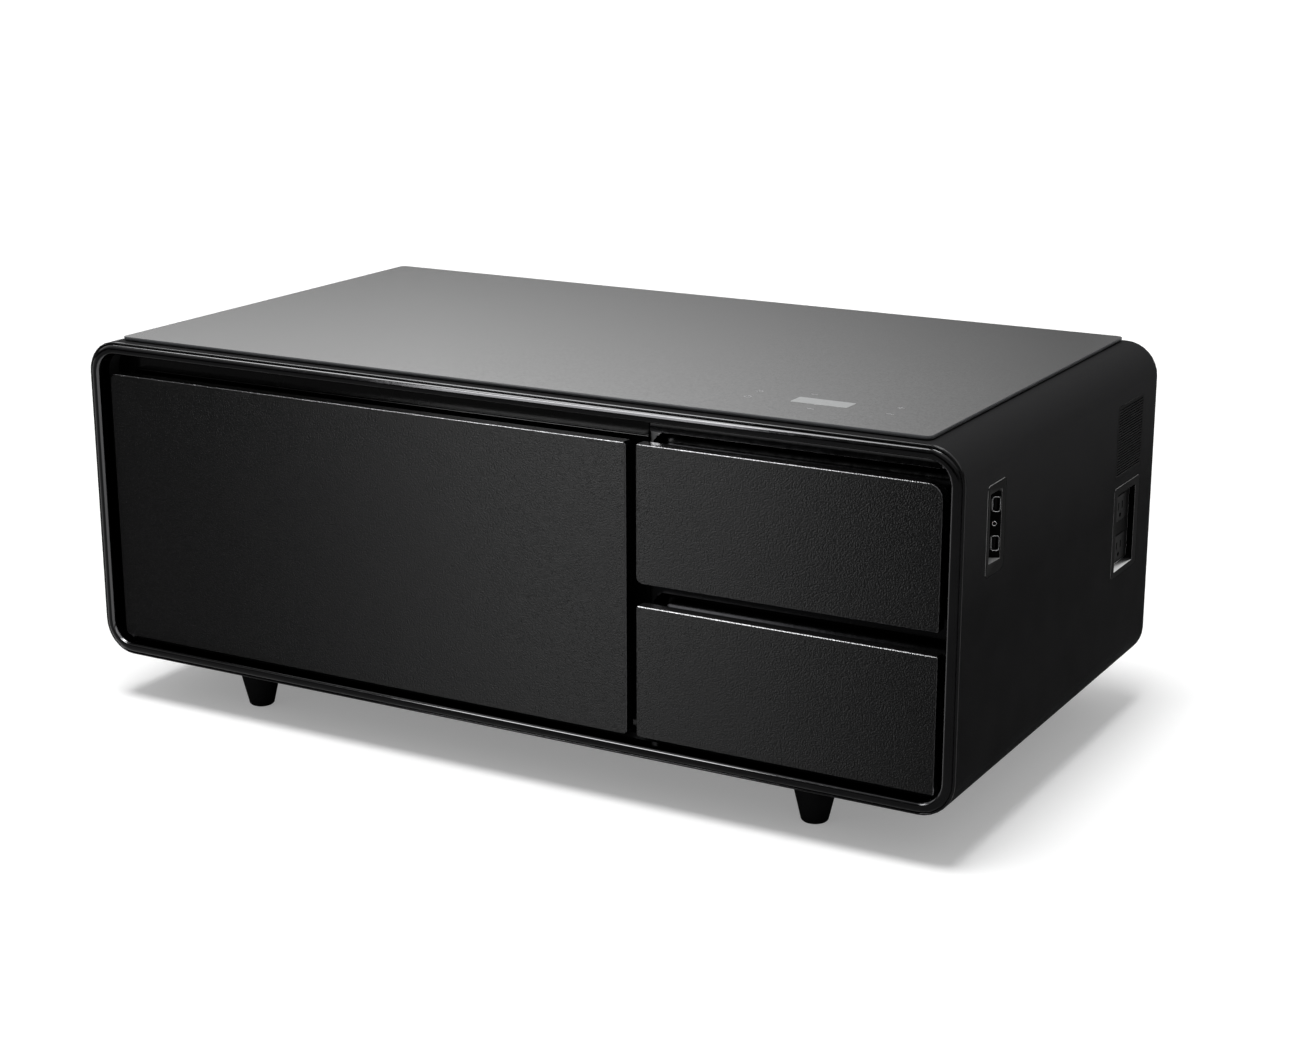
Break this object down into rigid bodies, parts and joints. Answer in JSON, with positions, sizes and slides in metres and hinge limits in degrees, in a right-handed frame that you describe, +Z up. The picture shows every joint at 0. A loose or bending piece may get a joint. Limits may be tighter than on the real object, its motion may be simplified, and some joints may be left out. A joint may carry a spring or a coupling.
{
  "type": "refrigerator coffee table",
  "caption": "Low rounded black coffee table with a glass top, a pull-out refrigerator on the left, stacked drawers on the right, and USB ports, outlets and a vent grille in its right side.",
  "frame": {"origin": "on the floor, under the middle of the body's width and depth", "axes": "+X to the right as seen from the front, +Y from the front to the back, +Z up"},
  "size_m": [1.1, 0.584, 0.4453],
  "materials": {
    "shell_black": "satin",
    "front_black": "fine texture, matt",
    "gloss_black": "gloss",
    "trim_black": "matt",
    "smoked_glass": "polished, painted black underneath",
    "rubber_black": "matt",
    "board_dark": "laminated",
    "liner_white": "smooth",
    "zinc_steel": "zinc plated",
    "aluminium": "mill",
    "chrome": "bright",
    "machine_black": "semi-gloss"
  },
  "bodies": {
    "cabinet": {"cabinet_shell": "shell_black", "front_bezel": "gloss_black", "back_panel": "trim_black", "center_divider": "board_dark", "bay_side_panel": "board_dark", "machine_partition": "board_dark", "fridge_fascia": "gloss_black", "drawer_fascia": "trim_black", "glass_spacer": "rubber_black", "glass_top": "smoked_glass", "touch_module": "trim_black", "leg_front_left": "shell_black", "leg_front_right": "shell_black", "leg_rear_left": "shell_black", "leg_rear_right": "shell_black", "foot_pad_front_left": "rubber_black", "foot_pad_front_right": "rubber_black", "foot_pad_rear_left": "rubber_black", "foot_pad_rear_right": "rubber_black", "fridge_cabinet": "liner_white", "evaporator_plate": "aluminium", "fridge_left_slide_cabinet": "zinc_steel", "fridge_right_slide_cabinet": "zinc_steel", "upper_left_slide_cabinet": "zinc_steel", "upper_right_slide_cabinet": "zinc_steel", "lower_left_slide_cabinet": "zinc_steel", "lower_right_slide_cabinet": "zinc_steel", "usb_panel": "trim_black", "usb_port_upper": "chrome", "usb_port_lower": "chrome", "side_grille": "trim_black", "fan_shroud": "trim_black", "outlet_pocket": "trim_black", "upper_outlet": "trim_black", "lower_outlet": "trim_black", "compressor": "machine_black", "condenser": "aluminium", "power_inlet": "trim_black"},
    "fridge_drawer": {"fridge_front": "front_black", "fridge_door_core": "liner_white", "fridge_gasket": "rubber_black", "fridge_tub": "liner_white", "fridge_left_slide_drawer": "zinc_steel", "fridge_right_slide_drawer": "zinc_steel"},
    "fridge_runners": {"fridge_left_slide_middle": "zinc_steel", "fridge_right_slide_middle": "zinc_steel"},
    "upper_drawer": {"upper_drawer_front": "front_black", "upper_drawer_box": "board_dark", "upper_left_slide_drawer": "zinc_steel", "upper_right_slide_drawer": "zinc_steel"},
    "upper_runners": {"upper_left_slide_middle": "zinc_steel", "upper_right_slide_middle": "zinc_steel"},
    "lower_drawer": {"lower_drawer_front": "front_black", "lower_drawer_box": "board_dark", "lower_left_slide_drawer": "zinc_steel", "lower_right_slide_drawer": "zinc_steel"},
    "lower_runners": {"lower_left_slide_middle": "zinc_steel", "lower_right_slide_middle": "zinc_steel"},
    "fan": {"fan_rotor": "trim_black"}
  },
  "joints": [
    {"name": "fridge_slide", "type": "slide", "parent": "cabinet", "child": "fridge_drawer", "axis": [0, -1, 0], "range_m": [0, 0.3]},
    {"name": "fridge_runner_slide", "type": "slide", "parent": "cabinet", "child": "fridge_runners", "axis": [0, -1, 0], "range_m": [0, 0.15]},
    {"name": "upper_drawer_slide", "type": "slide", "parent": "cabinet", "child": "upper_drawer", "axis": [0, -1, 0], "range_m": [0, 0.26]},
    {"name": "upper_runner_slide", "type": "slide", "parent": "cabinet", "child": "upper_runners", "axis": [0, -1, 0], "range_m": [0, 0.13]},
    {"name": "lower_drawer_slide", "type": "slide", "parent": "cabinet", "child": "lower_drawer", "axis": [0, -1, 0], "range_m": [0, 0.26]},
    {"name": "lower_runner_slide", "type": "slide", "parent": "cabinet", "child": "lower_runners", "axis": [0, -1, 0], "range_m": [0, 0.13]},
    {"name": "fan_spin", "type": "hinge", "parent": "cabinet", "child": "fan", "pos_m": [0.522, 0.2035, 0.3485], "axis": [1, 0, 0], "continuous": true}
  ],
  "couplings": [
    {"joint": "fridge_runner_slide", "follows": "fridge_slide", "ratio": 0.5},
    {"joint": "upper_runner_slide", "follows": "upper_drawer_slide", "ratio": 0.5},
    {"joint": "lower_runner_slide", "follows": "lower_drawer_slide", "ratio": 0.5}
  ]
}
